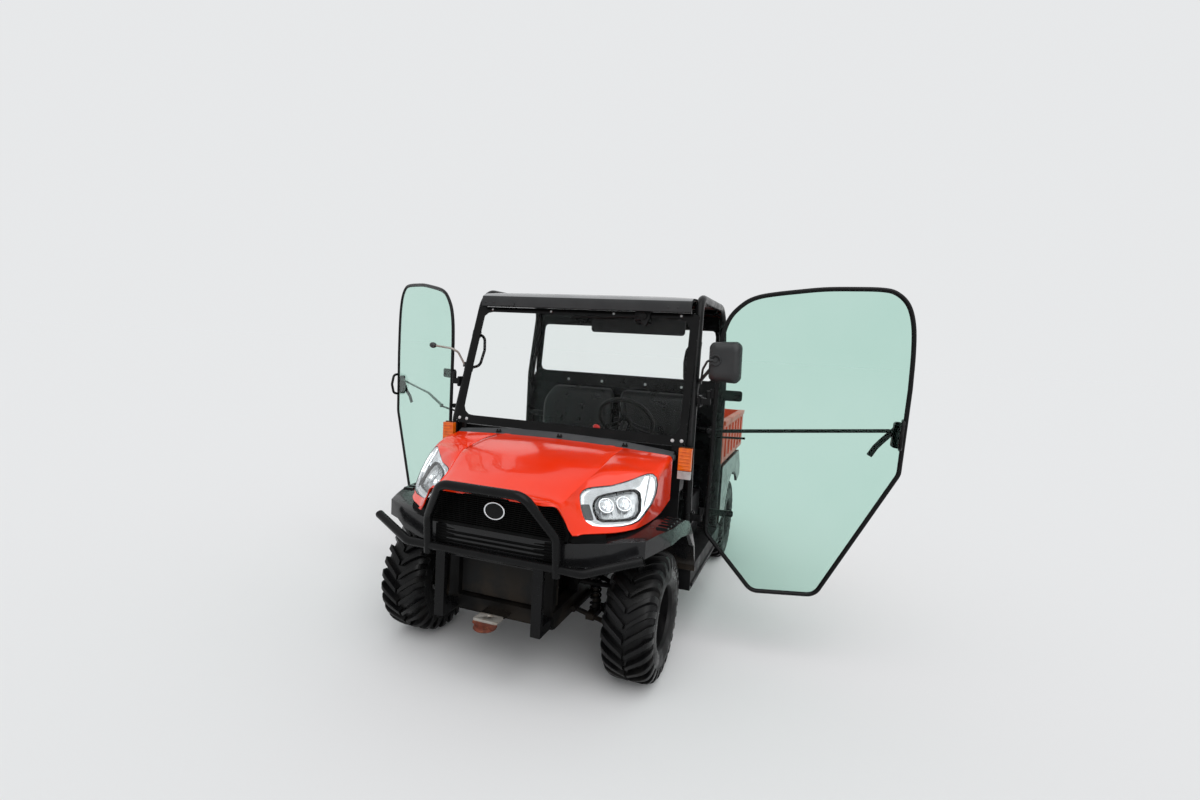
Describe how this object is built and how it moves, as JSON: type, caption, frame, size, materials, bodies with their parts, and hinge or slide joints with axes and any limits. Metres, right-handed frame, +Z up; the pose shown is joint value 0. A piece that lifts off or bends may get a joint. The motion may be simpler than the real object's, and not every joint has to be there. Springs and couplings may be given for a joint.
{
  "type": "side by side utility vehicle",
  "caption": "Two-seat utility vehicle with open glass doors, bull bar, roll-over frame and dumping cargo bed.",
  "frame": {"origin": "on the ground, on the vehicle's centre plane, midway between the axles", "axes": "-Y forward, +X to the vehicle's left, +Z up"},
  "size_m": [3.463, 3.134, 2.0058],
  "materials": {
    "orange_paint": "gloss",
    "black_plastic": "semi-matte, wet",
    "black_steel": "semi-gloss black",
    "grey_plastic": "textured",
    "frame_steel": "satin, muddy",
    "engine_grey": "cast",
    "bare_steel": "satin",
    "rusty_steel": "rusty",
    "tyre": "wet rubber",
    "rim": "semi-gloss",
    "lamp": "clear",
    "amber": "clear amber",
    "red_lens": "clear red",
    "glass_green": "tinted",
    "glass_clear": "clear",
    "vinyl": "black vinyl",
    "rubber": "matte"
  },
  "bodies": {
    "chassis": {"chassis_frame": "frame_steel", "engine_block": "engine_grey", "skid_plate": "black_steel", "front_arms": "frame_steel", "front_shocks": "black_steel", "rear_arms": "frame_steel", "rear_shocks": "black_steel", "floor_pan": "black_plastic", "front_fascia": "black_plastic", "grille": "black_plastic", "radiator": "engine_grey", "cowl_panel": "grey_plastic", "bull_bar": "black_steel", "tow_plate": "bare_steel", "rops_frame": "black_steel", "roof_panel": "grey_plastic", "windscreen": "glass_clear", "rear_window": "glass_clear", "rear_panel": "black_steel", "dashboard": "black_plastic", "steering_column": "black_steel", "seat_base": "black_plastic", "seat_cushion": "vinyl", "seat_backs": "vinyl", "mirrors": "black_plastic", "indicators": "amber", "tail_lamps": "red_lens", "rear_fenders": "black_plastic", "rear_bumper": "black_steel", "rear_hitch": "black_steel"},
    "steering_wheel": {"steering_wheel": "rubber"},
    "knuckle_left": {"knuckle_left": "frame_steel"},
    "knuckle_right": {"knuckle_right": "frame_steel"},
    "wheel_front_left": {"tyre_front_left": "tyre", "rim_front_left": "rim"},
    "wheel_front_right": {"tyre_front_right": "tyre", "rim_front_right": "rim"},
    "wheel_rear_left": {"tyre_rear_left": "tyre", "rim_rear_left": "rim"},
    "wheel_rear_right": {"tyre_rear_right": "tyre", "rim_rear_right": "rim"},
    "hood": {"hood": "orange_paint", "headlights": "lamp"},
    "door_left": {"door_frame_left": "black_steel", "door_glass_left": "glass_green"},
    "door_right": {"door_frame_right": "black_steel", "door_glass_right": "glass_green"},
    "cargo_bed": {"cargo_bed": "orange_paint"},
    "tailgate": {"tailgate": "orange_paint"},
    "dump_barrel": {"dump_barrel": "black_steel"},
    "dump_rod": {"dump_rod": "bare_steel"}
  },
  "joints": [
    {"name": "steer_left", "type": "hinge", "parent": "chassis", "child": "knuckle_left", "pos_m": [0.5, -1.005, 0.3175], "axis": [0, 0, 1], "range_deg": [-30, 30]},
    {"name": "steer_right", "type": "hinge", "parent": "chassis", "child": "knuckle_right", "pos_m": [-0.5, -1.005, 0.3175], "axis": [0, 0, 1], "range_deg": [-30, 30]},
    {"name": "steering_wheel_turn", "type": "hinge", "parent": "chassis", "child": "steering_wheel", "pos_m": [0.255, -0.31, 1.19], "axis": [0, 0.7769, 0.6297], "range_deg": [-360, 360]},
    {"name": "wheel_front_left_spin", "type": "hinge", "parent": "knuckle_left", "child": "wheel_front_left", "pos_m": [0.62, -1.005, 0.3175], "axis": [1, 0, 0], "continuous": true},
    {"name": "wheel_front_right_spin", "type": "hinge", "parent": "knuckle_right", "child": "wheel_front_right", "pos_m": [-0.62, -1.005, 0.3175], "axis": [1, 0, 0], "continuous": true},
    {"name": "wheel_rear_left_spin", "type": "hinge", "parent": "chassis", "child": "wheel_rear_left", "pos_m": [0.62, 1.005, 0.3175], "axis": [1, 0, 0], "continuous": true},
    {"name": "wheel_rear_right_spin", "type": "hinge", "parent": "chassis", "child": "wheel_rear_right", "pos_m": [-0.62, 1.005, 0.3175], "axis": [1, 0, 0], "continuous": true},
    {"name": "door_left_hinge", "type": "hinge", "parent": "chassis", "child": "door_left", "pos_m": [0.8, -0.587, 1], "axis": [0, 0, 1], "range_deg": [-9, 81]},
    {"name": "door_right_hinge", "type": "hinge", "parent": "chassis", "child": "door_right", "pos_m": [-0.8, -0.587, 1], "axis": [0, 0, -1], "range_deg": [-32, 58]},
    {"name": "hood_hinge", "type": "hinge", "parent": "chassis", "child": "hood", "pos_m": [0, -0.746, 1.088], "axis": [-1, 0, 0], "range_deg": [0, 60]},
    {"name": "bed_tilt", "type": "hinge", "parent": "chassis", "child": "cargo_bed", "pos_m": [0, 1.325, 0.8], "axis": [-1, 0, 0], "range_deg": [0, 45]},
    {"name": "tailgate_hinge", "type": "hinge", "parent": "cargo_bed", "child": "tailgate", "pos_m": [0, 1.519, 0.848], "axis": [-1, 0, 0], "range_deg": [0, 90]},
    {"name": "dump_barrel_swing", "type": "hinge", "parent": "chassis", "child": "dump_barrel", "pos_m": [-0.33, 0.595, 0.34], "axis": [-1, 0, 0], "range_deg": [-6.3, 0.2]},
    {"name": "dump_rod_slide", "type": "slide", "parent": "dump_barrel", "child": "dump_rod", "axis": [0, 0.5283, 0.8491], "range_m": [0, 0.342]}
  ],
  "couplings": [
    {"joint": "steer_right", "follows": "steer_left", "ratio": 1},
    {"joint": "steering_wheel_turn", "follows": "steer_left", "ratio": 12},
    {"joint": "dump_barrel_swing", "follows": "bed_tilt", "ratio": -0.135},
    {"joint": "dump_rod_slide", "follows": "bed_tilt", "m_per_rad": 0.434}
  ]
}
